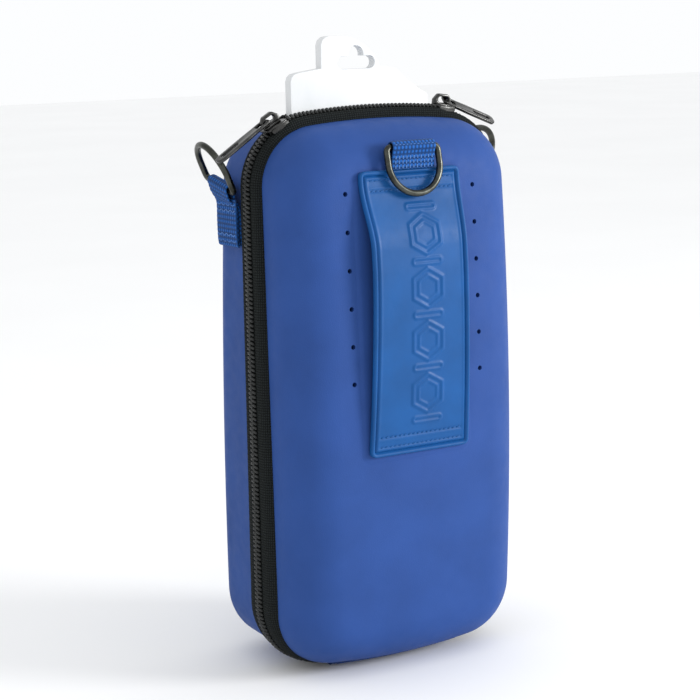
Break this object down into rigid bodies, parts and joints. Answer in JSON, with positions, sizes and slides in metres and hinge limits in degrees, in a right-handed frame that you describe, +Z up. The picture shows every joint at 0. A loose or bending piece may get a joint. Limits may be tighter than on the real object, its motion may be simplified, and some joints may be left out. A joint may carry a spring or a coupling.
{
  "type": "hard-shell instrument carry case",
  "caption": "Blue moulded zip-up carry case with a belt loop, three strap rings, two zip pulls and a white header card; the lid folds down on a fabric hinge.",
  "frame": {"origin": "on the ground under the middle of the fabric hinge, in the plane of the zip", "axes": "+X to the right seen from the front, +Y to the back, +Z up; the belt loop faces -Y"},
  "size_m": [0.1735, 0.108, 0.3213],
  "materials": {
    "shell_skin": "fine-grained laminate",
    "belt_loop_skin": "moulded satin",
    "webbing": "ribbed weave",
    "lining": "brushed knit",
    "elastic": "woven elastic",
    "zip_tape": "woven tape",
    "zip_coil": "coil",
    "hinge_fabric": "woven",
    "mesh": "open mesh",
    "ring_metal": "black nickel",
    "slider_metal": "black nickel",
    "card": "coated white"
  },
  "bodies": {
    "back_half": {"back_shell": "shell_skin", "back_lining": "lining", "rim_binding_back": "elastic", "zip_tape_back": "zip_tape", "zip_teeth_back": "zip_coil", "hinge_strip_back": "hinge_fabric", "left_ring_tab": "webbing", "right_ring_tab": "webbing", "pen_loops": "elastic"},
    "lid": {"front_shell": "shell_skin", "front_lining": "lining", "rim_binding_front": "elastic", "zip_tape_front": "zip_tape", "zip_teeth_front": "zip_coil", "hinge_strip_front": "hinge_fabric", "belt_loop": "belt_loop_skin", "front_ring_tab": "webbing", "mesh_pocket": "mesh", "pocket_hem": "elastic"},
    "front_ring": {"front_d_ring": "ring_metal"},
    "left_ring": {"left_d_ring": "ring_metal"},
    "right_ring": {"right_d_ring": "ring_metal"},
    "left_slider": {"left_slider_body": "slider_metal", "left_slider_bridge": "slider_metal"},
    "right_slider": {"right_slider_body": "slider_metal", "right_slider_bridge": "slider_metal"},
    "left_pull": {"left_pull": "slider_metal"},
    "right_pull": {"right_pull": "slider_metal"},
    "header_card": {"header_card": "card"}
  },
  "joints": [
    {"name": "lid_hinge", "type": "hinge", "parent": "back_half", "child": "lid", "pos_m": [0, 0, -0.0001], "axis": [1, 0, 0], "range_deg": [0, 172]},
    {"name": "front_ring_swing", "type": "hinge", "parent": "lid", "child": "front_ring", "pos_m": [0, -0.0382, 0.2675], "axis": [-1, 0, 0], "range_deg": [0, 150]},
    {"name": "left_ring_swing", "type": "hinge", "parent": "back_half", "child": "left_ring", "pos_m": [-0.0736, 0.024, 0.249], "axis": [0, -0.9781, -0.2079], "range_deg": [-15, 110]},
    {"name": "right_ring_swing", "type": "hinge", "parent": "back_half", "child": "right_ring", "pos_m": [0.0736, 0.024, 0.249], "axis": [0, 0.9781, 0.2079], "range_deg": [-15, 110]},
    {"name": "left_slider_travel", "type": "hinge", "parent": "lid", "child": "left_slider", "pos_m": [-0.038, 0, 0.24812], "axis": [0, -1, 0], "range_deg": [0, 40]},
    {"name": "right_slider_travel", "type": "hinge", "parent": "lid", "child": "right_slider", "pos_m": [0.038, 0, 0.24812], "axis": [0, 1, 0], "range_deg": [0, 68]},
    {"name": "left_pull_swing", "type": "hinge", "parent": "left_slider", "child": "left_pull", "pos_m": [-0.05966, 0, 0.28107], "axis": [0, 1, 0], "range_deg": [0, 110]},
    {"name": "right_pull_swing", "type": "hinge", "parent": "right_slider", "child": "right_pull", "pos_m": [0.04507, 0, 0.28691], "axis": [0, -1, 0], "range_deg": [0, 110]},
    {"name": "card_lift", "type": "slide", "parent": "back_half", "child": "header_card", "axis": [0, 0, 1], "range_m": [0, 0.06]}
  ]
}
